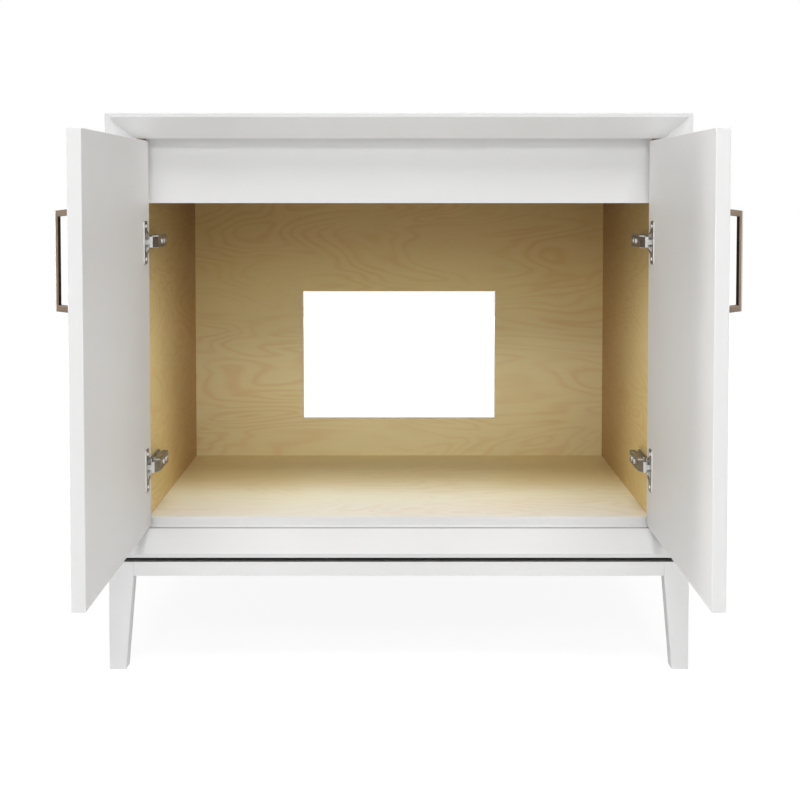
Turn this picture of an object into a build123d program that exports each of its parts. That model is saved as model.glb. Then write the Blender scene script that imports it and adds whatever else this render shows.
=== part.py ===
import math
import os

from build123d import *

# White bathroom vanity base on a leg frame, with its two doors standing open.
# Millimetres, +Z up, the front faces -Y and the floor is at Z = 0.

# Overall sizes
cabinet_width = 914.4
cabinet_height = 876.3
cabinet_depth = 533.4
body_bottom = 178.0

# Bevelled picture frame round the front
frame_lip = 6.35
frame_bevel = 31.75
frame_nose = 1.0
frame_rebate = 2.5
frame_edge_round = 0.6

# Sheet goods
side_thickness = 18.0
carcass_step = 15.1
carcass_side_thickness = 15.2
floor_thickness = 16.0
floor_lift = 12.8
back_thickness = 12.0
rail_thickness = 18.0
edge_band_thickness = 2.0
top_rail_height = 140.2
wall_rail_height = 100.0
batten_height = 60.0
cutout_width = 381.0
cutout_height = 254.0
cutout_above_floor = 74.1
wall_screw_spacing = 406.4
wall_screw_hole = 5.0
block_leg = 80.0
block_hole = 5.0
block_hole_inset = 26.0

# Leg frame
reveal_height = 6.4
reveal_inset = 14.0
base_rail_height = 22.2
leg_width_top = 39.3
leg_width_foot = 26.5
leg_depth = 25.4
leg_edge_round = 1.2
leg_foot_chamfer = 0.7
dowel_diameter = 8.0
dowel_length = 40.0
dowel_play = 0.05
base_screw_diameter = 5.0
base_screw_length = 45.0
base_screw_head = 10.0
base_screw_reach = 250.0
base_screw_inset = 20.4

# Doors
door_thickness = 19.05
door_gap_top = 3.4
door_gap_bottom = 1.4
door_gap_hinge = 1.9
door_gap_middle = 3.0
door_setback = 0.65
door_gap_behind = 2.55
door_edge_round = 1.2

# Concealed cup hinges
hinge_heights = {"upper": 674.0, "lower": 313.0}
cup_diameter = 35.0
cup_wall = 0.8
cup_wood = 3.0
cup_play = 0.1
cup_rim = 1.0
pin_diameter = 2.6
pin_play = 0.05
eye_radius = 2.2
eye_clearance = 0.5
eye_width = 5.0
eye_length = 6.0
strap_width = 8.0
strap_run = 1.1
neck_slope = 1.7
wing_length = 68.0
wing_width = 22.0
wing_thickness = 1.2
wing_offset = 9.5
wing_round = 5.0
cup_screw_spacing = 52.0
cup_screw_diameter = 3.5
cup_screw_head = 7.0
cup_screw_length = 11.0
front_skin = 3.7
arm_width = 20.0
neck_width = 17.0
arm_wall = 1.6
arm_height = 10.0
arm_stand_off = 18.5
arm_length = 69.0
arm_start = 1.5
arm_slot_at = 118.0
arm_slot_length = 9.0
arm_slot_width = 6.0
plate_base = 3.0
plate_front = 62.0
plate_length = 78.0
plate_screw_inset = 7.5
plate_screw_diameter = 4.0
plate_screw_head = 8.0
plate_screw_length = 14.0
ridge_front = 77.0
ridge_length = 40.0
ridge_play = 0.2
clamp_screw_at = 104.0
adjust_screw_at = 84.0
arm_screw_diameter = 5.0
arm_screw_head = 8.4
arm_screw_head_height = 1.8
arm_screw_length = 10.0
pan_head_rise = 0.22
pan_head_slope = 30.0
pilot_spare = 1.0

# Angled bar pulls
pull_height = 664.6
pull_length = 136.6
pull_bar_length = 130.0
pull_reach = 26.5
pull_bar_thickness = 5.3
pull_crest_chamfer = 2.0
pull_foot_thickness = 8.6
pull_width = 13.0
pull_from_free_edge = 43.0
pull_edge_round = 0.8
pull_foot_thinning = 1.0
pull_screw_diameter = 4.0
pull_screw_depth = 9.0
pull_screw_grip = 13.0

# Levels worked out from the sizes above
half_width = cabinet_width / 2
frame_width = frame_lip + frame_bevel
opening_half_width = half_width - frame_width
carcass_half_width = opening_half_width - carcass_step
opening_bottom = body_bottom + frame_width
opening_top = cabinet_height - frame_width
carcass_outer = carcass_half_width + carcass_side_thickness
side_inner = half_width - side_thickness
floor_top = opening_bottom + floor_lift
floor_bottom = floor_top - floor_thickness
leg_height = body_bottom - reveal_height
base_rail_bottom = leg_height - base_rail_height
back_front = cabinet_depth - back_thickness
wall_rail_front = back_front - rail_thickness
wall_rail_middle = cabinet_height - wall_rail_height / 2

# Doors closed: depths run back from the front plane, reaches out from the centre
door_front = frame_bevel + frame_nose + door_setback
door_back = door_front + door_thickness
frame_depth = door_back + door_gap_behind
door_edge = opening_half_width - door_gap_hinge
door_width = door_edge - door_gap_middle / 2
door_bottom = opening_bottom + door_gap_bottom
door_height = opening_top - door_gap_top - door_bottom

# Hinge pin: as near to the door's front corner as the cup and its wood allow
cup_inner_radius = cup_diameter / 2 - cup_wall
pin_from_edge = cup_wood + cup_wall + eye_clearance + eye_radius
pin_from_front = front_skin + cup_wall + eye_clearance + eye_radius
pin_reach = door_edge - pin_from_edge
pin_depth = door_front + pin_from_front
cup_reach = door_edge - cup_wood - cup_diameter / 2
cup_depth = door_thickness - front_skin
pin_below_face = door_thickness - pin_from_front

# Doors open by a quarter turn about the pin
open_outer = pin_reach + pin_from_front
open_inner = open_outer - door_thickness
open_back = pin_depth + pin_from_edge
open_front = open_back - door_width
cup_open_depth = open_back - (door_edge - cup_reach)
pull_centre_depth = open_front + pull_from_free_edge

# The origin is on the floor under the middle of the open vanity's plan
front_y = -(cabinet_depth + open_front) / 2

sides = {"left": -1, "right": 1}
ends = {"front": 0, "rear": 1}


def save(builder, name):
    builder.part.label = name
    export_step(builder.part, f"parts/{name}.step")


def board(x_range, depth_range, z_range):
    """Adds a rectangular board to the part being built, depths from the front plane."""
    with BuildSketch(Plane.XY.offset(z_range[0])) as outline:
        with Locations((sum(x_range) / 2, front_y + sum(depth_range) / 2)):
            Rectangle(x_range[1] - x_range[0], depth_range[1] - depth_range[0])
    extrude(outline.sketch, amount=z_range[1] - z_range[0])


def panel(name, x_range, depth_range, z_range):
    """A plain board, drilled where a screw of the leg frame reaches it."""
    with BuildPart() as sheet:
        board(x_range, depth_range, z_range)
        if z_range[0] == body_bottom:
            drill_base_screws()
    save(sheet, name)


def sided(side, inner, outer):
    """Limits along X of something between two reaches on one side."""
    return (inner, outer) if side > 0 else (-outer, -inner)


def frame_moulding(name, start, along, outward, length):
    """One mitred length of the bevelled frame; outward points to its outer face."""
    section_plane = Plane(origin=start, x_dir=outward, z_dir=along)
    back = section_plane.y_dir.Y
    with BuildPart() as moulding:
        with BuildSketch(section_plane) as section:
            with BuildLine():
                Polyline(
                    (0, 0),
                    (-frame_lip, 0),
                    (-frame_width, back * frame_bevel),
                    (-frame_width, back * (frame_bevel + frame_nose)),
                    (-frame_width + frame_rebate, back * (frame_bevel + frame_nose)),
                    (-frame_width + frame_rebate, back * frame_depth),
                    (0, back * frame_depth),
                    close=True,
                )
            make_face()
            front_corners = section.vertices().filter_by(lambda corner: abs(corner.Y) <= frame_bevel)
            fillet(front_corners, frame_edge_round)
        extrude(amount=length)
        # The ends are cut at 45 degrees, from the outer edge inwards
        for end, slope in ((0, 1), (length, -1)):
            corner = Vector(start) + Vector(along) * end
            mitre_normal = Vector(along) * slope + Vector(outward)
            split(bisect_by=Plane(origin=corner, z_dir=mitre_normal), keep=Keep.TOP)
        if outward[2] < 0:
            drill_base_screws()
    save(moulding, name)


def build_frame():
    body_height = cabinet_height - body_bottom
    frame_moulding("frame_top_rail", (-half_width, front_y, cabinet_height), (1, 0, 0), (0, 0, 1), cabinet_width)
    frame_moulding("frame_bottom_rail", (-half_width, front_y, body_bottom), (1, 0, 0), (0, 0, -1), cabinet_width)
    for word, side in sides.items():
        start = (side * half_width, front_y, body_bottom)
        frame_moulding(f"frame_stile_{word}", start, (0, 0, 1), (side, 0, 0), body_height)


def build_carcass():
    behind_frame = (frame_depth, cabinet_depth)
    full_height = (body_bottom, cabinet_height)
    inside = (-carcass_half_width, carcass_half_width)
    band_back = frame_depth + edge_band_thickness
    rail_front = (frame_depth, frame_depth + rail_thickness)
    for word, side in sides.items():
        panel(f"side_panel_{word}", sided(side, side_inner, half_width), behind_frame, full_height)
        gap = sided(side, carcass_outer, side_inner)
        for place, low in (("upper", cabinet_height - batten_height), ("lower", body_bottom)):
            panel(f"side_batten_{place}_{word}", gap, behind_frame, (low, low + batten_height))
        between = (body_bottom + batten_height, cabinet_height - batten_height)
        panel(f"side_batten_rear_{word}", gap, (wall_rail_front, cabinet_depth), between)
        build_carcass_side(word, side)
    panel("carcass_floor", inside, (band_back, back_front), (floor_bottom, floor_top))
    panel("floor_edge_band", inside, (frame_depth, band_back), (floor_bottom, floor_top))
    panel("top_front_rail", inside, rail_front, (cabinet_height - top_rail_height, cabinet_height))
    panel("bottom_front_rail", inside, rail_front, (body_bottom, floor_bottom))
    panel("bottom_rear_rail", inside, (wall_rail_front, back_front), (body_bottom, floor_bottom))


def build_carcass_side(word, side):
    """Plywood side with a pilot hole for each hinge plate screw."""
    x_range = sided(side, carcass_half_width, carcass_outer)
    with BuildPart() as ply:
        board(x_range, (frame_depth, cabinet_depth), (body_bottom, cabinet_height))
        for height in hinge_heights.values():
            face = Plane(origin=(side * carcass_half_width, front_y, height), x_dir=(0, 1, 0), z_dir=(-side, 0, 0))
            with BuildSketch(face):
                with Locations(*[(depth, 0) for depth in plate_screw_depths()]):
                    Circle(plate_screw_diameter / 2 + pin_play)
            extrude(amount=-(plate_screw_length - plate_base + pilot_spare), mode=Mode.SUBTRACT)
    save(ply, f"carcass_side_{word}")


def build_back():
    """Back panel with the plumbing cut-out, and the rail that is screwed to the wall through it."""
    cutout_middle = floor_top + cutout_above_floor + cutout_height / 2
    inside = (-carcass_half_width, carcass_half_width)
    rear = Plane(origin=(0, front_y + cabinet_depth, 0), x_dir=(1, 0, 0), z_dir=(0, -1, 0))
    holes = [(reach * wall_screw_spacing / 2, wall_rail_middle) for reach in (-1, 1)]
    with BuildPart() as back:
        board(inside, (back_front, cabinet_depth), (body_bottom, cabinet_height))
        with BuildSketch(rear):
            with Locations((0, cutout_middle)):
                Rectangle(cutout_width, cutout_height)
            with Locations(*holes):
                Circle(wall_screw_hole / 2)
        extrude(amount=back_thickness, mode=Mode.SUBTRACT)
    save(back, "back_panel")
    with BuildPart() as rail:
        board(inside, (wall_rail_front, back_front), (cabinet_height - wall_rail_height, cabinet_height))
        with BuildSketch(rear.offset(back_thickness)):
            with Locations(*holes):
                Circle(wall_screw_hole / 2)
        extrude(amount=rail_thickness, mode=Mode.SUBTRACT)
    save(rail, "wall_rail")


def build_corner_blocks():
    """Triangular blocks in the four top corners, each with a screw hole for the countertop."""
    front_corner = frame_depth + rail_thickness
    corners = [(side, depth, run) for side in (-1, 1) for depth, run in ((front_corner, 1), (wall_rail_front, -1))]
    with BuildPart() as blocks:
        with BuildSketch(Plane.XY.offset(cabinet_height - rail_thickness)):
            for side, depth, run in corners:
                x = side * carcass_half_width
                y = front_y + depth
                with BuildLine():
                    Polyline((x, y), (x - side * block_leg, y), (x, y + run * block_leg), close=True)
                make_face()
            with Locations(
                *[
                    (side * (carcass_half_width - block_hole_inset), front_y + depth + run * block_hole_inset)
                    for side, depth, run in corners
                ]
            ):
                Circle(block_hole / 2, mode=Mode.SUBTRACT)
        extrude(amount=rail_thickness)
    save(blocks, "corner_blocks")


def dowel_places():
    """Centre and direction of the dowel at each joint of the leg frame."""
    height = base_rail_bottom + base_rail_height / 2
    places = []
    for side in sides.values():
        for rear in ends.values():
            depth = leg_depth / 2 + rear * (cabinet_depth - leg_depth)
            places.append(((side * (half_width - leg_width_top), front_y + depth, height), (1, 0, 0)))
            depth = leg_depth + rear * (cabinet_depth - 2 * leg_depth)
            places.append(((side * (half_width - leg_depth / 2), front_y + depth, height), (0, 1, 0)))
    return places


def drill_dowels():
    """Cuts the dowel holes that reach the leg or rail being built."""
    for centre, along in dowel_places():
        start = Vector(centre) - Vector(along) * dowel_length / 2
        with BuildSketch(Plane(origin=start, z_dir=along)) as hole:
            Circle(dowel_diameter / 2 + dowel_play)
        extrude(hole.sketch, amount=dowel_length, mode=Mode.SUBTRACT)


def base_screw_places():
    """Plan points of the screws that hold the leg frame up to the body."""
    middle = front_y + cabinet_depth / 2
    across = [
        (side * base_screw_reach, middle + rear * (cabinet_depth / 2 - base_screw_inset))
        for side in (-1, 1)
        for rear in (-1, 1)
    ]
    return across + [(side * (half_width - side_thickness / 2), middle) for side in (-1, 1)]


def drill_base_screws():
    """Cuts the leg frame's screw holes through whatever is being built in their way."""
    with BuildSketch(Plane.XY.offset(base_rail_bottom)) as holes:
        with Locations(*base_screw_places()):
            Circle(base_screw_diameter / 2 + pin_play)
    extrude(holes.sketch, amount=base_screw_length + pin_play, mode=Mode.SUBTRACT)


def build_base_rail(name, x_range, depth_range):
    with BuildPart() as rail:
        board(x_range, depth_range, (base_rail_bottom, leg_height))
        drill_dowels()
        drill_base_screws()
    save(rail, name)


def build_leg(name, side, depth):
    """Leg with an upright outer face and an inner face that tapers from the rail to the floor."""
    inner_top = half_width - leg_width_top
    inner_foot = half_width - leg_width_foot
    with BuildPart() as leg:
        with BuildSketch(Plane(origin=(0, front_y + depth, 0), x_dir=(1, 0, 0), z_dir=(0, -1, 0))):
            with BuildLine():
                Polyline(
                    (side * half_width, 0),
                    (side * inner_foot, 0),
                    (side * inner_top, base_rail_bottom),
                    (side * inner_top, leg_height),
                    (side * half_width, leg_height),
                    close=True,
                )
            make_face()
        extrude(amount=-leg_depth)
        upright = leg.edges().filter_by(lambda edge: edge.length >= base_rail_bottom)
        fillet(upright, leg_edge_round)
        foot = leg.faces().sort_by(Axis.Z)[0]
        chamfer(foot.edges(), leg_foot_chamfer)
        drill_dowels()
    save(leg, name)


def build_leg_frame():
    inner_top = half_width - leg_width_top
    for end, rear in ends.items():
        depth = rear * (cabinet_depth - leg_depth)
        for word, side in sides.items():
            build_leg(f"leg_{end}_{word}", side, depth)
        build_base_rail(f"base_rail_{end}", (-inner_top, inner_top), (depth, depth + leg_depth))
    for word, side in sides.items():
        x_range = sided(side, half_width - leg_depth, half_width)
        build_base_rail(f"base_rail_{word}", x_range, (leg_depth, cabinet_depth - leg_depth))
    reach = half_width - reveal_inset
    with BuildPart() as reveal:
        board((-reach, reach), (reveal_inset, cabinet_depth - reveal_inset), (leg_height, body_bottom))
        drill_base_screws()
    save(reveal, "reveal_panel")
    with BuildPart() as dowels:
        for centre, along in dowel_places():
            with BuildSketch(Plane(origin=Vector(centre) - Vector(along) * dowel_length / 2, z_dir=along)):
                Circle(dowel_diameter / 2)
            extrude(amount=dowel_length)
    save(dowels, "base_dowels")
    with BuildPart() as screws:
        with BuildSketch(Plane.XY.offset(base_rail_bottom)):
            with Locations(*base_screw_places()):
                Circle(base_screw_diameter / 2)
        extrude(amount=base_screw_length)
        with BuildSketch(Plane.XY.offset(base_rail_bottom)):
            with Locations(*base_screw_places()):
                Circle(base_screw_head / 2)
        extrude(amount=-base_screw_diameter / 2)
    save(screws, "base_screws")


def plate_screw_depths():
    return (plate_front + plate_screw_inset, plate_front + plate_length - plate_screw_inset)


def build_hinge_plate(word, side, place, height):
    """Straight mounting plate: a base strip on the plywood and the ridge the arm clips over."""
    wall = side * carcass_half_width
    ridge_top = carcass_half_width - arm_stand_off + arm_wall
    ridge_width = arm_width - 2 * arm_wall - 2 * ridge_play
    face = Plane(origin=(wall, front_y, height), x_dir=(0, 1, 0), z_dir=(-side, 0, 0))
    with BuildPart() as plate:
        with BuildSketch(face):
            with Locations((plate_front + plate_length / 2, 0)):
                SlotOverall(plate_length, arm_width)
        extrude(amount=plate_base)
        with BuildSketch(face.offset(plate_base)):
            with Locations((ridge_front + ridge_length / 2, 0)):
                Rectangle(ridge_length, ridge_width)
        extrude(amount=carcass_half_width - ridge_top - plate_base)
        with BuildSketch(face):
            with Locations(*[(depth, 0) for depth in plate_screw_depths()]):
                Circle(plate_screw_diameter / 2 + pin_play)
        extrude(amount=plate_base, mode=Mode.SUBTRACT)
        with BuildSketch(face.offset(carcass_half_width - ridge_top)):
            with Locations((adjust_screw_at, 0), (clamp_screw_at, 0)):
                Circle(arm_screw_diameter / 2 + pin_play)
        extrude(amount=-arm_screw_length, mode=Mode.SUBTRACT)
    save(plate, f"hinge_plate_{word}_{place}")


def build_hinge_arm(word, side, place, height):
    """Cranked arm: an eye on the pin, a neck that dips into the cup and a channel over the plate."""
    x_pin = side * pin_reach
    y_pin = front_y + pin_depth
    roof = carcass_half_width - arm_stand_off
    cheek = roof + arm_height
    body_start = frame_depth + arm_start
    throat = pin_below_face + wing_thickness
    strap_length = throat + strap_run
    plan = Plane(origin=(0, 0, height), x_dir=(1, 0, 0), z_dir=(0, 0, 1))

    def at(inward, back):
        return (x_pin - side * inward, y_pin + back)

    with BuildPart() as arm:
        # Channel body, open towards the plywood
        with BuildSketch(plan):
            with Locations((side * (roof + arm_height / 2), front_y + body_start + arm_length / 2)):
                Rectangle(arm_height, arm_length)
        extrude(amount=arm_width / 2, both=True)
        roof_edges = arm.faces().sort_by(lambda face: abs(face.center().X - side * roof))[0].edges()
        fillet(roof_edges, arm_wall)
        with BuildSketch(plan):
            hollow_height = arm_height - arm_wall
            hollow_length = arm_length - 2 * arm_wall
            with Locations((side * (cheek - hollow_height / 2), front_y + body_start + arm_length / 2)):
                Rectangle(hollow_height, hollow_length)
        extrude(amount=arm_width / 2 - arm_wall, both=True, mode=Mode.SUBTRACT)
        # Neck: from the channel's front end down into the cup
        with BuildSketch(plan):
            with BuildLine():
                Polyline(
                    at(strap_length, 0),
                    at(strap_length + neck_slope, throat),
                    (side * (cheek - arm_wall), front_y + body_start + arm_wall),
                    (side * roof, front_y + body_start + arm_wall),
                    at(pin_reach - roof, throat - arm_wall),
                    at(strap_length + 3 * neck_slope, -eye_radius),
                    at(strap_length, -eye_radius),
                    close=True,
                )
            make_face()
        extrude(amount=neck_width / 2, both=True)
        # Strap: out along the bottom of the cup to the eye on the pin
        with BuildSketch(plan):
            with BuildLine():
                Polyline(
                    at(0, eye_radius),
                    at(strap_length, 0),
                    at(strap_length, -eye_radius),
                    at(0, -eye_radius),
                    close=True,
                )
            make_face()
        extrude(amount=strap_width / 2, both=True)
        for up in (1, -1):
            with BuildSketch(plan.offset(up * eye_width / 2)):
                with Locations(at(0, 0)):
                    Rectangle(2 * eye_length, 3 * eye_radius)
            extrude(amount=up * strap_width, mode=Mode.SUBTRACT)
        with BuildSketch(plan):
            with Locations(at(0, 0)):
                Circle(eye_radius)
        extrude(amount=eye_width / 2, both=True)
        with BuildSketch(plan):
            with Locations(at(0, 0)):
                Circle(pin_diameter / 2 + pin_play)
        extrude(amount=neck_width, both=True, mode=Mode.SUBTRACT)
        with BuildSketch(Plane(origin=(side * roof, front_y, height), x_dir=(0, 1, 0), z_dir=(side, 0, 0))):
            with Locations((adjust_screw_at, 0), (clamp_screw_at, 0)):
                Circle(arm_screw_diameter / 2 + pin_play)
            with Locations((arm_slot_at, 0)):
                SlotOverall(arm_slot_length, arm_slot_width)
        extrude(amount=arm_wall, mode=Mode.SUBTRACT)
    save(arm, f"hinge_arm_{word}_{place}")


def door_face(side, height):
    """Plane on an open door's inner face at a cup's centre, facing the middle of the vanity."""
    origin = (side * open_inner, front_y + cup_open_depth, height)
    return Plane(origin=origin, x_dir=(0, 0, 1), z_dir=(-side, 0, 0))


def wing_shift(side):
    """Offset of the wings from the cup's centre, away from the hinge edge, along the plane's Y."""
    return (0, -side * wing_offset)


def cup_screw_points(side):
    return [(up * cup_screw_spacing / 2, wing_shift(side)[1]) for up in (1, -1)]


def build_hinge_cup(word, side, place, height):
    """Pressed cup with a flat rim and two screw wings."""
    face = door_face(side, height)
    with BuildPart() as cup:
        with BuildSketch(face):
            with Locations(wing_shift(side)):
                RectangleRounded(wing_length, wing_width, wing_round)
            Circle(cup_diameter / 2 + cup_rim)
        extrude(amount=wing_thickness)
        with BuildSketch(face):
            Circle(cup_diameter / 2)
        extrude(amount=-cup_depth)
        with BuildSketch(face.offset(wing_thickness)):
            Circle(cup_inner_radius)
        extrude(amount=-(cup_depth + wing_thickness - cup_wall), mode=Mode.SUBTRACT)
        with BuildSketch(face):
            with Locations(*cup_screw_points(side)):
                Circle(cup_screw_diameter / 2 + pin_play)
        extrude(amount=wing_thickness, mode=Mode.SUBTRACT)
    save(cup, f"hinge_cup_{word}_{place}")


def build_hinge_pins(word, side):
    """Pins across the two cups of a door, as long as the cup is wide at the pin."""
    off_centre = pin_reach - cup_reach
    half_chord = math.sqrt(cup_inner_radius**2 - (off_centre + pin_diameter / 2) ** 2)
    with BuildPart() as pins:
        for height in hinge_heights.values():
            with BuildSketch(Plane.XY.offset(height)):
                with Locations((side * pin_reach, front_y + pin_depth)):
                    Circle(pin_diameter / 2)
            extrude(amount=half_chord, both=True)
    save(pins, f"hinge_pins_{word}")


def pan_screws(planes_and_points, diameter, head, length):
    """Screws with sloping pan heads, driven from each plane along its own -Z."""
    with BuildPart() as screws:
        for face, points in planes_and_points:
            with BuildSketch(face):
                with Locations(*points):
                    Circle(diameter / 2)
            extrude(amount=-length)
            with BuildSketch(face):
                with Locations(*points):
                    Circle(head / 2)
            extrude(amount=head * pan_head_rise, taper=pan_head_slope)
    return screws


def build_hinge_screws():
    plate_faces = []
    with BuildPart() as arm_screws:
        for side in sides.values():
            for height in hinge_heights.values():
                origin = (side * (carcass_half_width - plate_base), front_y, height)
                face = Plane(origin=origin, x_dir=(0, 1, 0), z_dir=(-side, 0, 0))
                plate_faces.append((face, [(depth, 0) for depth in plate_screw_depths()]))
                roof = face.offset(arm_stand_off - plate_base)
                with BuildSketch(roof):
                    with Locations((adjust_screw_at, 0), (clamp_screw_at, 0)):
                        Circle(arm_screw_diameter / 2)
                extrude(amount=-arm_screw_length)
                with BuildSketch(roof):
                    with Locations((adjust_screw_at, 0), (clamp_screw_at, 0)):
                        Circle(arm_screw_head / 2)
                extrude(amount=arm_screw_head_height)
    save(arm_screws, "hinge_arm_screws")
    screws = pan_screws(plate_faces, plate_screw_diameter, plate_screw_head, plate_screw_length)
    save(screws, "hinge_plate_screws")
    for word, side in sides.items():
        faces = [
            (door_face(side, height).offset(wing_thickness), cup_screw_points(side))
            for height in hinge_heights.values()
        ]
        save(pan_screws(faces, cup_screw_diameter, cup_screw_head, cup_screw_length), f"cup_screws_{word}")


def pull_feet(side):
    """Plane on an open door's outer face along the middle of its pull, facing outwards."""
    origin = (side * open_outer, front_y + pull_centre_depth, 0)
    return Plane(origin=origin, x_dir=(0, 0, 1), z_dir=(side, 0, 0))


def pull_screw_points():
    """The two headless screws of a pull, in the middle of its feet."""
    half_spacing = (pull_length - pull_foot_thickness) / 2
    return [(pull_height - half_spacing, 0), (pull_height + half_spacing, 0)]


def build_door(word, side):
    x_range = sided(side, open_inner, open_outer)
    with BuildPart() as door:
        board(x_range, (open_front, open_back), (door_bottom, door_bottom + door_height))
        fillet(door.edges(), door_edge_round)
        for height in hinge_heights.values():
            with BuildSketch(door_face(side, height)):
                Circle(cup_diameter / 2 + cup_play)
            extrude(amount=-(cup_depth + cup_play), mode=Mode.SUBTRACT)
            with BuildSketch(door_face(side, height)):
                with Locations(*cup_screw_points(side)):
                    Circle(cup_screw_diameter / 2 + pin_play)
            extrude(amount=-cup_screw_length, mode=Mode.SUBTRACT)
        with BuildSketch(pull_feet(side)):
            with Locations(*pull_screw_points()):
                Circle(pull_screw_diameter / 2 + pin_play)
        extrude(amount=-(pull_screw_grip + pilot_spare), mode=Mode.SUBTRACT)
    save(door, f"door_{word}")


def build_pull(word, side):
    """Angular bar pull: a flat bar on two feet that splay towards the door."""
    base = side * open_outer
    crest = side * (open_outer + pull_reach)
    bar_inside = side * (open_outer + pull_reach - pull_bar_thickness)
    inside_end = pull_bar_length / 2 - pull_foot_thickness + pull_foot_thinning
    profile_plane = Plane(
        origin=(0, front_y + pull_centre_depth - pull_width / 2, pull_height), x_dir=(1, 0, 0), z_dir=(0, -1, 0)
    )
    with BuildPart() as pull:
        with BuildSketch(profile_plane):
            with BuildLine():
                Polyline(
                    (base, -pull_length / 2),
                    (crest, -pull_bar_length / 2),
                    (crest, pull_bar_length / 2),
                    (base, pull_length / 2),
                    (base, pull_length / 2 - pull_foot_thickness),
                    (bar_inside, inside_end),
                    (bar_inside, -inside_end),
                    (base, -pull_length / 2 + pull_foot_thickness),
                    close=True,
                )
            make_face()
        extrude(amount=-pull_width)
        crest_edges = pull.edges().filter_by(Axis.Z).sort_by(lambda edge: abs(edge.center().X))[-2:]
        chamfer(crest_edges, pull_crest_chamfer)
        fillet(pull.faces().filter_by(Axis.Y).edges(), pull_edge_round)
        with BuildSketch(pull_feet(side)):
            with Locations(*pull_screw_points()):
                Circle(pull_screw_diameter / 2 + pin_play)
        extrude(amount=pull_screw_depth, mode=Mode.SUBTRACT)
    save(pull, f"pull_{word}")
    with BuildPart() as studs:
        with BuildSketch(pull_feet(side).offset(-pull_screw_grip)):
            with Locations(*pull_screw_points()):
                Circle(pull_screw_diameter / 2)
        extrude(amount=pull_screw_grip + pull_screw_depth)
    save(studs, f"pull_screws_{word}")


os.makedirs("parts", exist_ok=True)
build_frame()
build_carcass()
build_back()
build_corner_blocks()
build_leg_frame()
for word, side in sides.items():
    for place, height in hinge_heights.items():
        build_hinge_plate(word, side, place, height)
        build_hinge_arm(word, side, place, height)
        build_hinge_cup(word, side, place, height)
    build_hinge_pins(word, side)
    build_door(word, side)
    build_pull(word, side)
build_hinge_screws()
print("hinge pin at", round(pin_reach, 3), round(front_y + pin_depth, 3), "front plane at", round(front_y, 3))
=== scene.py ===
import math

import bpy
import numpy as np
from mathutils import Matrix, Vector


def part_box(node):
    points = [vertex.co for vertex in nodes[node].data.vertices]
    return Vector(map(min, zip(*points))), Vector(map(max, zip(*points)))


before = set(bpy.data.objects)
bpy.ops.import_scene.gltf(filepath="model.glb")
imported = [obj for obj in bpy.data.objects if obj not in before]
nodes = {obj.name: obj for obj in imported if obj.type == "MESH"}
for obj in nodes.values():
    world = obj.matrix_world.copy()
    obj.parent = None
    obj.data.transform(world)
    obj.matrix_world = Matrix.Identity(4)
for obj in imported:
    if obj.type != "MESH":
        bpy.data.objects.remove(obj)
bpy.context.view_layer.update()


# A material with a Principled shader, and short helpers for its nodes
def newFinish(name):
    finish = bpy.data.materials.new(name)
    finish.use_nodes = True
    tree = finish.node_tree
    tree.nodes.clear()
    output = tree.nodes.new("ShaderNodeOutputMaterial")
    shader = tree.nodes.new("ShaderNodeBsdfPrincipled")
    tree.links.new(shader.outputs[0], output.inputs["Surface"])
    return finish, tree, shader


def addNode(tree, kind, inputs=None, **settings):
    node = tree.nodes.new("ShaderNode" + kind)
    for key, value in settings.items():
        setattr(node, key, value)
    for key, value in (inputs or {}).items():
        if isinstance(value, bpy.types.NodeSocket):
            tree.links.new(value, node.inputs[key])
        else:
            node.inputs[key].default_value = value
    return node


def doMath(tree, operation, a, b=0.0):
    return addNode(tree, "Math", {0: a, 1: b}, operation=operation).outputs[0]


def stretchRange(tree, value, low, high, newLow=0.0, newHigh=1.0, curve="LINEAR"):
    inputs = {"Value": value, "From Min": low, "From Max": high, "To Min": newLow, "To Max": newHigh}
    return addNode(tree, "MapRange", inputs, clamp=True, interpolation_type=curve).outputs[0]


def mixColour(tree, amount, first, second, blend="MIX"):
    node = addNode(tree, "Mix", data_type="RGBA", blend_type=blend)
    sockets = (node.inputs["Factor"], node.inputs[6], node.inputs[7])   # share, first colour, second colour
    for socket, value in zip(sockets, (amount, first, second)):
        if isinstance(value, bpy.types.NodeSocket):
            tree.links.new(value, socket)
        else:
            socket.default_value = value if isinstance(value, float) else (*value, 1.0)
    return node.outputs[2]


# Noise over object coordinates, stretched by a scale for each axis
def grainNoise(tree, coordinate, scale, shift=(0, 0, 0), detail=2.0, roughness=0.5, distortion=0.0):
    mapping = addNode(tree, "Mapping", {"Vector": coordinate, "Location": shift, "Scale": scale})
    inputs = {"Vector": mapping.outputs[0], "Scale": 1.0, "Detail": detail}
    inputs |= {"Roughness": roughness, "Distortion": distortion}
    return addNode(tree, "TexNoise", inputs).outputs[0]


def addBump(tree, shader, height, strength, distance):
    bump = addNode(tree, "Bump", {"Height": height, "Strength": strength, "Distance": distance})
    tree.links.new(bump.outputs[0], shader.inputs["Normal"])


def splitAxes(tree, vector):
    return addNode(tree, "SeparateXYZ", {0: vector}).outputs


forward = (0.0, -1.0, 0.0)
upward = (0.0, 0.0, 1.0)
noiseSpan = (0.3, 0.7)       # most of a noise lies between these values

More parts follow.
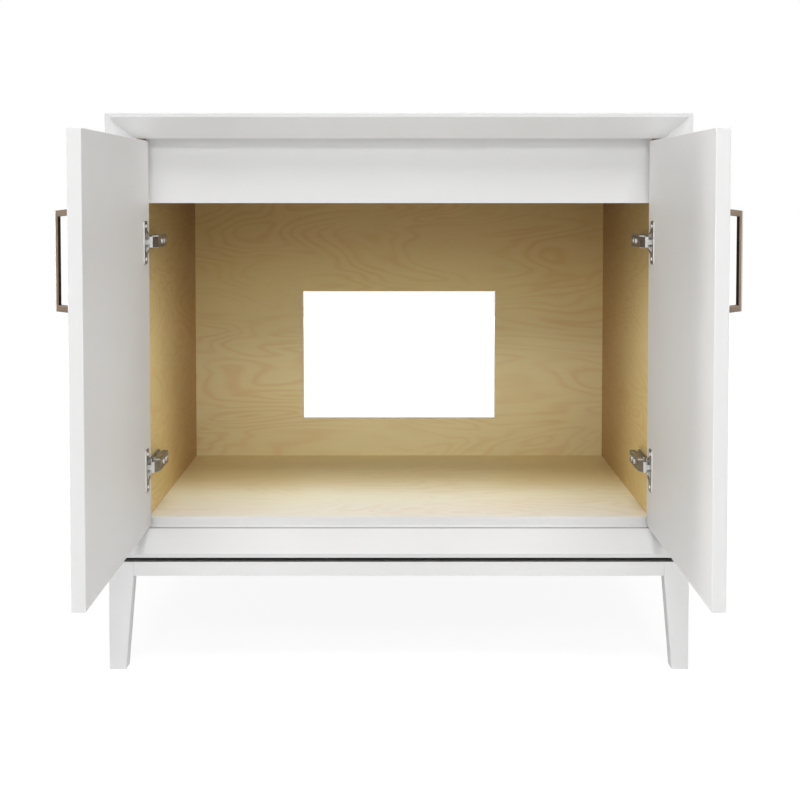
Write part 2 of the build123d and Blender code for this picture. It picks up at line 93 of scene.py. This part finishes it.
lacquer = {
    "colour": (0.80, 0.80, 0.80),
    "cloudColour": (0.785, 0.785, 0.782),
    "cloudScale": 3.2,       # faint clouds per metre
    "cloudRange": (0.35, 0.65),          # noise at which they begin and are full
    "roughness": (0.46, 0.58),
    "peelScale": 620.0,      # lumps of the sprayed coat per metre
    "peelBump": (0.05, 0.0003),          # strength, height
    "squareOn": 0.9,         # how squarely a face has to point one way to get its painted shade
    "rebateShadow": (0.30, 0.30, 0.30),        # painted shadow: a strip at the foot of the lower rebate, hidden by closed doors
    "rebateShadowReach": (0.0222, 0.0071),     # how far its front and its rear end are from the floor's edge band
    "doorEdgeShade": (0.755, 0.755, 0.752),     # painted shade on the free edges of the open doors
    "stripShade": (0.70, 0.70, 0.70),   # painted shade on the flat strip round the front of the frame
    "gapShade": (0.24, 0.235, 0.23),     # painted shade on the tops of the leg frame, inside the dark reveal
    "bandLight": 1.10,        # share of the white on the floor's edge band, raised as painted light
    "bevelShade": 0.90,       # share of the white on the lower moulding, lowered as painted shade
}


# Sprayed satin lacquer: faint clouds in the white, fine peel in the coat.
# Faces that point one way, within a depth, can get painted shade in place of the white, and a tone gives
# painted light or shade over the whole coat.
def makeLacquer(name, pointing=None, faceShade=None, faceReach=(-1.0, 1.0), paintedTone=1.0):
    finish, tree, shader = newFinish(name)
    texture = addNode(tree, "TexCoord")
    coordinate = texture.outputs["Object"]
    clouds = grainNoise(tree, coordinate, (lacquer["cloudScale"],) * 3, detail=3.0)
    clear, cloudy = (tuple(c * paintedTone for c in lacquer[key]) for key in ("colour", "cloudColour"))
    colour = mixColour(tree, stretchRange(tree, clouds, *lacquer["cloudRange"]), clear, cloudy)
    if pointing:
        turned = {0: texture.outputs["Normal"], 1: pointing}
        facing = addNode(tree, "VectorMath", turned, operation="DOT_PRODUCT").outputs["Value"]
        depth = splitAxes(tree, coordinate)["Y"]
        chosen = doMath(tree, "GREATER_THAN", facing, lacquer["squareOn"])
        chosen = doMath(tree, "MULTIPLY", chosen, doMath(tree, "GREATER_THAN", depth, faceReach[0]))
        chosen = doMath(tree, "MULTIPLY", chosen, doMath(tree, "LESS_THAN", depth, faceReach[1]))
        # Painted shade on the chosen faces
        colour = mixColour(tree, chosen, colour, faceShade)
    tree.links.new(colour, shader.inputs["Base Color"])
    rough = stretchRange(tree, clouds, *noiseSpan, *lacquer["roughness"])
    tree.links.new(rough, shader.inputs["Roughness"])
    peel = grainNoise(tree, coordinate, (lacquer["peelScale"],) * 3, detail=1.5)
    addBump(tree, shader, peel, *lacquer["peelBump"])
    return finish


birch = {
    "pale": (0.86, 0.73, 0.42),
    "warm": (0.83, 0.65, 0.34),
    "ring": (0.74, 0.47, 0.20),
    "fibre": (0.70, 0.50, 0.24),
    "edgePale": (0.62, 0.36, 0.14),
    "edgeDark": (0.38, 0.19, 0.07),
    "figure": 0.46,          # strength of the growth lines
    "floorFigure": 0.28,
    "rings": 16.0,           # growth lines across one swell of the figure
    "ringEdge": 2.4,         # power that narrows the growth lines
    # Patterns per metre along the grain, across it and through the board
    "swell": (2.5, 9.5, 3.0),
    "patches": (4.0, 9.0, 3.0),
    "fibres": (16.0, 520.0, 520.0),
    "flecks": (90.0, 1100.0, 1100.0),
    "swellNoise": (2.2, 0.42, 0.8),      # detail, roughness, distortion
    "fibreNoise": (3.0, 0.6),
    # Noise from and to, and the share of the colour that it gives at each
    "lineRange": (0.36, 0.60, 0.15, 0.85),
    "warmRange": (0.3, 0.7, 0.0, 0.35),
    "fibreRange": (0.45, 0.8, 0.0, 0.16),
    "fleckRange": (0.66, 0.74, 0.0, 0.16),
    "edgeFleckRange": (0.4, 0.7, 0.0, 0.4),
    "plyPitch": 0.0026,      # two plies
    "plyRange": (0.18, 0.32),            # where in half a pitch the pale ply turns dark
    "faceLimit": 0.5,        # share of the normal that goes through the board; a cut edge has less
    "roughness": (0.40, 0.55),
    "bump": (0.10, 0.0003),  # strength, height
    # Painted shade and light inside the cupboard: axis, start and end on it, tone at the start and at the
    # end
    "backPaintedShade": (
        ("Z", 0.40, 0.76, (1.12, 1.17, 1.21), (0.71, 0.60, 0.52)),
        ("Z", 0.42, 0.60, (1.0, 1.0, 1.0), (1.0, 0.96, 0.78)),
    ),
    "sidePaintedShade": (
        ("Y", -0.06, 0.40, (1.18, 1.24, 1.12), (0.66, 0.56, 0.49)),
        ("Z", 0.46, 0.78, (0.93, 0.84, 0.73), (0.45, 0.36, 0.28)),
    ),
    "floorPaintedLight": (
        ("Y", 0.10, 0.26, (1.13, 1.29, 1.72), (1.04, 1.03, 0.97)),
        ("Y", -0.02, 0.14, (1.0, 1.0, 1.16), (1.0, 1.0, 1.0)),
    ),
}
boardEdges = ("edgePale", "edgeDark")    # colours of the plies on the cut edges of boards
stripEdges = ("warm", "ring")            # and of narrow strips


# Peeled birch: growth lines are the contours of a slow swell that is stretched along the grain.
# The seed shifts each pattern by its own amount, so that no two boards are alike.
def makeBirch(name, grain, through, seed, inward=1.0, paintedTones=(), figure=birch["figure"], plies=boardEdges):
    finish, tree, shader = newFinish(name)
    texture = addNode(tree, "TexCoord")
    place = splitAxes(tree, texture.outputs["Object"])
    across = ({"X", "Y", "Z"} - {grain, through}).pop()
    axes = {0: place[grain], 1: place[across], 2: place[through]}
    board = addNode(tree, "CombineXYZ", axes).outputs[0]
    swell = grainNoise(tree, board, birch["swell"], (seed, seed * 2.3, seed), *birch["swellNoise"])
    lines = doMath(tree, "SINE", doMath(tree, "MULTIPLY", swell, birch["rings"] * math.tau))
    lines = doMath(tree, "POWER", stretchRange(tree, lines, -1.0, 1.0), birch["ringEdge"])
    patch = grainNoise(tree, board, birch["patches"], (seed * 3.1, seed, 0))
    lines = doMath(tree, "MULTIPLY", lines, stretchRange(tree, patch, *birch["lineRange"]))
    fibres = grainNoise(tree, board, birch["fibres"], (seed, 0, 0), *birch["fibreNoise"])
    flecks = grainNoise(tree, board, birch["flecks"], (0, seed, 0), detail=1.0)
    colour = mixColour(tree, stretchRange(tree, patch, *birch["warmRange"]), birch["pale"], birch["warm"])
    colour = mixColour(tree, doMath(tree, "MULTIPLY", lines, figure), colour, birch["ring"])
    colour = mixColour(tree, stretchRange(tree, fibres, *birch["fibreRange"]), colour, birch["fibre"])
    colour = mixColour(tree, stretchRange(tree, flecks, *birch["fleckRange"]), colour, birch["fibre"])
    # Painted shade on the face that looks into the cupboard, darker towards the top and the inside corners,
    # and painted light that makes the floor paler at its front
    facing = splitAxes(tree, texture.outputs["Normal"])[through]
    inner = doMath(tree, "GREATER_THAN", doMath(tree, "MULTIPLY", facing, inward), birch["faceLimit"])
    for axis, start, end, startTone, endTone in paintedTones:
        paintedTone = stretchRange(tree, place[axis], start, end, curve="SMOOTHSTEP")
        colour = mixColour(tree, inner, colour, mixColour(tree, paintedTone, startTone, endTone), "MULTIPLY")
    # Cut edges show the plies instead
    cutEdge = doMath(tree, "LESS_THAN", doMath(tree, "ABSOLUTE", facing), birch["faceLimit"])
    layers = doMath(tree, "FRACT", doMath(tree, "DIVIDE", place[through], birch["plyPitch"]))
    layers = stretchRange(tree, doMath(tree, "PINGPONG", layers, 0.5), *birch["plyRange"])
    edge = mixColour(tree, layers, *(birch[key] for key in plies))
    edge = mixColour(tree, stretchRange(tree, flecks, *birch["edgeFleckRange"]), edge, birch["fibre"])
    tree.links.new(mixColour(tree, cutEdge, colour, edge), shader.inputs["Base Color"])
    rough = stretchRange(tree, fibres, *noiseSpan, *birch["roughness"])
    tree.links.new(rough, shader.inputs["Roughness"])
    addBump(tree, shader, fibres, *birch["bump"])
    return finish


bronze = {
    "bright": (0.26, 0.205, 0.157),
    "worn": (0.17, 0.130, 0.097),
    "oxide": (0.048, 0.029, 0.017),
    "chamferHighlight": (0.53, 0.505, 0.475),      # painted highlight on the chamfers
    "oxideShine": 0.0,       # the oxide is matt
    "roughness": (0.38, 0.52),
    "cloudScale": 45.0,      # worn clouds per metre
    "blastScale": 1500.0,    # blast pits per metre
    # Noise from and to, and the share of the worn colour that it gives at each
    "cloudRange": (0.35, 0.65, 0.0, 0.6),
    "pitRange": (0.4, 0.7, 0.0, 0.6),
    # How far a face turns to or from the door: the chamfers lie between the sides and the outer face
    "oxideRange": (0.35, 0.8),
    "sideEnd": (0.25, 0.65),
    "outerFace": (0.8, 0.95),
    "bump": (0.12, 0.0002),  # strength, height
}


# Blasted bronze, with dark oxide left on the side that faces the door and a painted highlight on the outer
# chamfers
def makeBronze(name, towardsDoor):
    finish, tree, shader = newFinish(name)
    texture = addNode(tree, "TexCoord")
    coordinate = texture.outputs["Object"]
    blast = grainNoise(tree, coordinate, (bronze["blastScale"],) * 3)
    clouds = grainNoise(tree, coordinate, (bronze["cloudScale"],) * 3, detail=3.0)
    worn = stretchRange(tree, clouds, *bronze["cloudRange"])
    colour = mixColour(tree, worn, bronze["bright"], bronze["worn"])
    pitted = stretchRange(tree, blast, *bronze["pitRange"])
    colour = mixColour(tree, pitted, colour, bronze["worn"])
    facing = splitAxes(tree, texture.outputs["Normal"])["X"]
    inside = stretchRange(tree, doMath(tree, "MULTIPLY", facing, towardsDoor), *bronze["oxideRange"])
    colour = mixColour(tree, inside, colour, bronze["oxide"])
    outward = doMath(tree, "MULTIPLY", facing, -towardsDoor)
    offSide = stretchRange(tree, outward, *bronze["sideEnd"])
    offFace = stretchRange(tree, outward, *bronze["outerFace"], 1.0, 0.0)
    chamfer = doMath(tree, "MULTIPLY", offSide, offFace)
    # The chamfers get a painted highlight
    tree.links.new(mixColour(tree, chamfer, colour, bronze["chamferHighlight"]), shader.inputs["Base Color"])
    rough = stretchRange(tree, blast, *noiseSpan, *bronze["roughness"])
    tree.links.new(rough, shader.inputs["Roughness"])
    tree.links.new(stretchRange(tree, inside, 0.0, 1.0, 1.0, 0.0), shader.inputs["Metallic"])
    shader.inputs["Specular IOR Level"].default_value = bronze["oxideShine"]
    addBump(tree, shader, blast, *bronze["bump"])
    return finish


steel = {
    "hingeColour": (0.27, 0.262, 0.255),
    "hingeRoughness": (0.24, 0.38),
    "hingeLines": (900.0, 40.0, 900.0),  # drawing lines per metre, long in the arm's direction
    "frontReflection": (0.93, 0.92, 0.91),   # painted reflection on the bends and edges that point out of the cabinet
    "frontFacing": (-0.8, -0.55),        # normals from bright to plain
    "frontMetal": 0.15,
    "bodyMetal": 0.80,
    "screwColour": (0.58, 0.57, 0.55),
    "screwRoughness": (0.24, 0.40),
    "screwLines": (600.0, 600.0, 600.0),
    "patchScale": 70.0,      # dull patches per metre
    "patchRange": (0.35, 0.7),           # noise at which they begin and are full
    "patchShare": 0.6,       # of the roughness; the lines give the rest
    "roughRange": (0.35, 0.65),
    "dullColour": 0.82,      # share of the colour kept in dull patches
    "cupStart": 0.00015,     # depth below the open door's face at which its cups turn grey
    "cupFade": 0.0006,
    "cupGrey": (0.60, 0.59, 0.57),
    "cupRoughness": 0.6,
    "cupMetal": 0.25,
    "bump": (0.02, 0.0001),  # strength, height
}


# Plated steel: dull patches, faint drawing lines along the strip and a painted reflection on the front
# edges
def makeSteel(name, colour, roughness, lineScale, sunkBeyond=None):
    finish, tree, shader = newFinish(name)
    texture = addNode(tree, "TexCoord")
    coordinate = texture.outputs["Object"]
    patches = grainNoise(tree, coordinate, (steel["patchScale"],) * 3, detail=3.0)
    lines = grainNoise(tree, coordinate, lineScale)
    dull = tuple(c * steel["dullColour"] for c in colour)
    colour = mixColour(tree, stretchRange(tree, patches, *steel["patchRange"]), colour, dull)
    patchPart = doMath(tree, "MULTIPLY", patches, steel["patchShare"])
    linePart = doMath(tree, "MULTIPLY", lines, 1.0 - steel["patchShare"])
    rough = stretchRange(tree, doMath(tree, "ADD", patchPart, linePart), *steel["roughRange"], *roughness)
    facing = splitAxes(tree, texture.outputs["Normal"])["Y"]
    front = stretchRange(tree, facing, *steel["frontFacing"], 1.0, 0.0)
    # Faces that point out of the cabinet get a painted reflection
    colour = mixColour(tree, front, colour, steel["frontReflection"])
    metal = stretchRange(tree, front, 0.0, 1.0, steel["bodyMetal"], steel["frontMetal"])
    if sunkBeyond:
        # Satin grey inside the cup, below the door's face
        reach = doMath(tree, "ABSOLUTE", splitAxes(tree, coordinate)["X"])
        sunk = stretchRange(tree, reach, sunkBeyond, sunkBeyond + steel["cupFade"])
        colour = mixColour(tree, sunk, colour, steel["cupGrey"])
        rough = doMath(tree, "MAXIMUM", rough, doMath(tree, "MULTIPLY", sunk, steel["cupRoughness"]))
        cupMetal = stretchRange(tree, sunk, 0.0, 1.0, 1.0, steel["cupMetal"])
        metal = doMath(tree, "MINIMUM", metal, cupMetal)
    tree.links.new(metal, shader.inputs["Metallic"])
    tree.links.new(colour, shader.inputs["Base Color"])
    tree.links.new(rough, shader.inputs["Roughness"])
    addBump(tree, shader, lines, *steel["bump"])
    return finish


darkWood = {
    "colour": (0.034, 0.033, 0.032),
    "streak": (0.056, 0.053, 0.050),
    "roughness": (0.62, 0.80),
    "shine": 0.15,
}
beech = {
    "colour": (0.55, 0.39, 0.24),
    "streak": (0.42, 0.27, 0.15),
    "roughness": (0.55, 0.70),
    "shine": 0.4,
}
streaks = {
    "scale": (14.0, 300.0, 300.0),       # per metre, long along X
    "range": (0.35, 0.7),    # noise at which they begin and are full
    "bump": (0.15, 0.0003),  # strength, height
}


# Wood with fine streaks along X, for the stained strip and the plain dowels
def makeStreakedWood(name, wood):
    finish, tree, shader = newFinish(name)
    coordinate = addNode(tree, "TexCoord").outputs["Object"]
    streak = grainNoise(tree, coordinate, streaks["scale"], detail=3.0, roughness=0.6)
    colour = mixColour(tree, stretchRange(tree, streak, *streaks["range"]), wood["colour"], wood["streak"])
    tree.links.new(colour, shader.inputs["Base Color"])
    rough = stretchRange(tree, streak, *noiseSpan, *wood["roughness"])
    tree.links.new(rough, shader.inputs["Roughness"])
    shader.inputs["Specular IOR Level"].default_value = wood["shine"]
    addBump(tree, shader, streak, *streaks["bump"])
    return finish


whiteFinish = makeLacquer("whiteLacquer")
# Forward faces of the doors get painted shade
doorFinish = makeLacquer("doorLacquer", forward, lacquer["doorEdgeShade"])
# Upward faces of the leg frame get painted shade, where they sit in the reveal
legFinish = makeLacquer("legFrameLacquer", upward, lacquer["gapShade"])
# The frame's flat front strip gets painted shade
frameFinish = makeLacquer("frameStrip", forward, lacquer["stripShade"])
# The edge band's white is raised as painted light
bandFinish = makeLacquer("bandLacquer", paintedTone=lacquer["bandLight"])
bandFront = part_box("floor_edge_band")[0].y
# Depths of the painted shadow strip in the lower rebate
rebateShadowReach = tuple(bandFront - away for away in lacquer["rebateShadowReach"])
# The lower moulding's white is lowered as painted shade
rebateFinish = makeLacquer("frameBottom", upward, lacquer["rebateShadow"], rebateShadowReach, lacquer["bevelShade"])
hingeSteel = (steel["hingeColour"], steel["hingeRoughness"], steel["hingeLines"])
hingeFinish = makeSteel("hingeNickel", *hingeSteel)
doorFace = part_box("door_right")[0].x     # the left door's lies as far out on the other side
cupFinish = makeSteel("cupNickel", *hingeSteel, doorFace + steel["cupStart"])
screwFinish = makeSteel("screwZinc", steel["screwColour"], steel["screwRoughness"], steel["screwLines"])
floorLook = (birch["floorPaintedLight"], birch["floorFigure"])
railFinish = makeBirch("birchRails", "X", "Y", 10.2, plies=stripEdges)

# Which finish goes on which piece: the first match wins
finishes = (
    ("base_dowels", makeStreakedWood("dowelBeech", beech)),
    ("reveal_panel", makeStreakedWood("revealStain", darkWood)),
    ("base_screws", screwFinish),
    ("cup_screws", screwFinish),
    ("hinge_arm_screws", screwFinish),
    ("hinge_plate_screws", screwFinish),
    ("pull_screws", screwFinish),
    ("hinge_cup", cupFinish),
    ("hinge_", hingeFinish),
    ("pull_left", makeBronze("pullBronzeLeft", 1.0)),
    ("pull_right", makeBronze("pullBronzeRight", -1.0)),
    # Birch: grain axis, axis through the board, seed, which way the inner face looks, painted shade and
    # light, and figure
    ("back_panel", makeBirch("birchBack", "X", "Y", 0.37, -1.0, birch["backPaintedShade"])),
    ("carcass_floor", makeBirch("birchFloor", "X", "Z", 1.9, 1.0, *floorLook)),
    ("carcass_side_left", makeBirch("birchLeft", "Y", "X", 3.3, 1.0, birch["sidePaintedShade"])),
    ("carcass_side_right", makeBirch("birchRight", "Y", "X", 5.1, -1.0, birch["sidePaintedShade"])),
    ("side_batten_rear", makeBirch("birchUpright", "Z", "Y", 6.2, plies=stripEdges)),
    ("side_batten", makeBirch("birchBatten", "Y", "Z", 7.4, plies=stripEdges)),
    ("corner_blocks", makeBirch("birchBlocks", "X", "Z", 8.8, plies=stripEdges)),
    ("wall_rail", railFinish),
    ("bottom_", railFinish),
    ("door_", doorFinish),
    ("base_rail", legFinish),
    ("leg_", legFinish),
    ("frame_bottom", rebateFinish),
    ("frame_", frameFinish),
    ("floor_edge", bandFinish),
    ("", whiteFinish),
)
for name, piece in nodes.items():
    chosen = next(finish for word, finish in finishes if name.startswith(word))
    piece.data.materials.clear()
    piece.data.materials.append(chosen)
print("finishes:", len(bpy.data.materials))

middle = (0.0, 0.0, 0.45)    # what most lamps aim at
studio = {
    "floorReach": 14.0,
    "floorHeight": -0.0004,
    "floorBounce": 0.88,     # floor colour that lights the object
    "floorShade": 0.16,      # how much of the light on it the floor shows to the camera
    "floorGlow": (0.91, 1.0),            # white that it shows anyway, near and far
    "glowReach": (0.9, 2.6),             # and the distances of the two
    "ambient": 0.145,
    "clothColour": 0.02,
    "clothGap": 0.0005,      # between the shade in the open top and the boards round it
    "clothDrop": 0.0053,     # from the corner blocks down to it
    "lamps": (
        # name, place, aim, width, height, watts, and the degrees that its grid lets the light spread
        ("frontLow", (0.0, -5.287, 1.966), middle, 4.0, 0.9, 21.5, 180.0),
        ("frontHigh", (0.0, -4.45, 3.683), middle, 4.0, 0.9, 61.0, 180.0),
        ("keyFront", (0.0, -2.75, 5.213), middle, 4.0, 0.9, 95.0, 180.0),
        ("keyHigh", (0.0, -1.971, 5.585), middle, 4.0, 0.9, 86.0, 180.0),
        ("sideLeft", (-4.2, -2.2, 1.4), middle, 2.4, 2.4, 43.0, 180.0),
        ("sideRight", (4.2, -2.2, 1.4), middle, 2.4, 2.4, 43.0, 180.0),
        ("rimLeft", (-3.0, -0.765, 0.6), (0.4, -0.4975, 0.55), 0.53, 1.4, 0.58, 11.0),
        ("rearFill", (0.0, 5.5, 0.43), (0.0, 0.0, 0.43), 1.6, 0.5, 50.0, 180.0),
    ),
}


# Rays that show the backdrop as white: those of the camera, reflections and refractions
def seenDirectly(tree):
    path = addNode(tree, "LightPath").outputs
    seen = doMath(tree, "MAXIMUM", path["Is Camera Ray"], path["Is Glossy Ray"])
    return doMath(tree, "MAXIMUM", seen, path["Is Transmission Ray"])


# One level rectangle on the stage
def layFlat(name, xRange, yRange, height, finish):
    (left, right), (near, far) = xRange, yRange
    corners = [(left, near, height), (right, near, height), (right, far, height), (left, far, height)]
    sheet = bpy.data.meshes.new(name)
    sheet.from_pydata(corners, [], [(0, 1, 2, 3)])
    sheet.materials.append(finish)
    holder = bpy.data.objects.new(name, sheet)
    bpy.context.scene.collection.objects.link(holder)
    return holder


def makeWorld():
    world = bpy.data.worlds.new("studioWhite")
    world.use_nodes = True
    bpy.context.scene.world = world
    tree = world.node_tree
    background = tree.nodes["Background"]
    background.inputs["Color"].default_value = (1.0, 1.0, 1.0, 1.0)
    strength = stretchRange(tree, seenDirectly(tree), 0.0, 1.0, studio["ambient"], 1.0)
    tree.links.new(strength, background.inputs["Strength"])


# Paper that lights the object as a pale floor, and shows itself white with a faint shadow
def makeFloor():
    paper = bpy.data.materials.new("studioPaper")
    paper.use_nodes = True
    tree = paper.node_tree
    tree.nodes.clear()
    bounce = addNode(tree, "BsdfDiffuse", {"Color": (*[studio["floorBounce"]] * 3, 1.0)})
    lit = addNode(tree, "BsdfDiffuse", {"Color": (*[studio["floorShade"]] * 3, 1.0)})
    spot = addNode(tree, "TexCoord").outputs["Object"]
    away = addNode(tree, "VectorMath", {0: spot}, operation="LENGTH").outputs["Value"]
    white = stretchRange(tree, away, *studio["glowReach"], *studio["floorGlow"])
    glow = addNode(tree, "Emission", {"Strength": white})
    shown = addNode(tree, "AddShader", {0: lit.outputs[0], 1: glow.outputs[0]})
    both = addNode(tree, "MixShader", {0: seenDirectly(tree), 1: bounce.outputs[0], 2: shown.outputs[0]})
    output = addNode(tree, "OutputMaterial", {"Surface": both.outputs[0]})
    output.is_active_output = True
    reach = (-studio["floorReach"], studio["floorReach"])
    floor = layFlat("studioFloor", reach, reach, studio["floorHeight"], paper)


# Lies under the corner blocks, so that no lamp shines straight down inside; only light meets it
def makeTopShade():
    blackCloth = bpy.data.materials.new("blackCloth")
    blackCloth.use_nodes = True
    shader = blackCloth.node_tree.nodes["Principled BSDF"]
    shader.inputs["Base Color"].default_value = (*[studio["clothColour"]] * 3, 1.0)
    low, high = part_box("corner_blocks")
    gap = studio["clothGap"]
    xRange = (low.x + gap, high.x - gap)
    yRange = (low.y + gap, high.y - gap)
    shade = layFlat("topShade", xRange, yRange, low.z - studio["clothDrop"], blackCloth)
    shade.visible_camera = shade.visible_glossy = shade.visible_transmission = False


def makeLamps():
    for name, place, aim, width, height, watts, spread in studio["lamps"]:
        lamp = bpy.data.lights.new(name, "AREA")
        lamp.shape = "RECTANGLE"
        lamp.size, lamp.size_y = width, height
        lamp.energy, lamp.spread = watts, math.radians(spread)
        holder = bpy.data.objects.new(name, lamp)
        holder.location = place
        holder.rotation_euler = (Vector(aim) - Vector(place)).to_track_quat("-Z", "Y").to_euler()
        bpy.context.scene.collection.objects.link(holder)
    print("studio:", len(studio["lamps"]), "lamps")


bpy.context.scene.view_settings.view_transform = "Standard"
makeWorld()
makeFloor()
makeTopShade()
makeLamps()

viewpoint = {
    "place": (0.0017, -2.00677, 0.7536),
    "lens": 55.603,
    "sensor": 36.0,
    "rise": -0.198,          # most of the view lies below the camera's own height
    "dip": 2.294,            # degrees that it looks down
}


def makeCamera():
    camera = bpy.data.cameras.new("photoView")
    camera.sensor_width = viewpoint["sensor"]
    camera.lens = viewpoint["lens"]
    camera.shift_y = viewpoint["rise"]
    holder = bpy.data.objects.new("photoView", camera)
    holder.location = viewpoint["place"]
    holder.rotation_euler = (math.radians(90.0 - viewpoint["dip"]), 0.0, 0.0)
    bpy.context.scene.collection.objects.link(holder)
    bpy.context.scene.camera = holder
    print("camera:", viewpoint["lens"], "mm")


makeCamera()
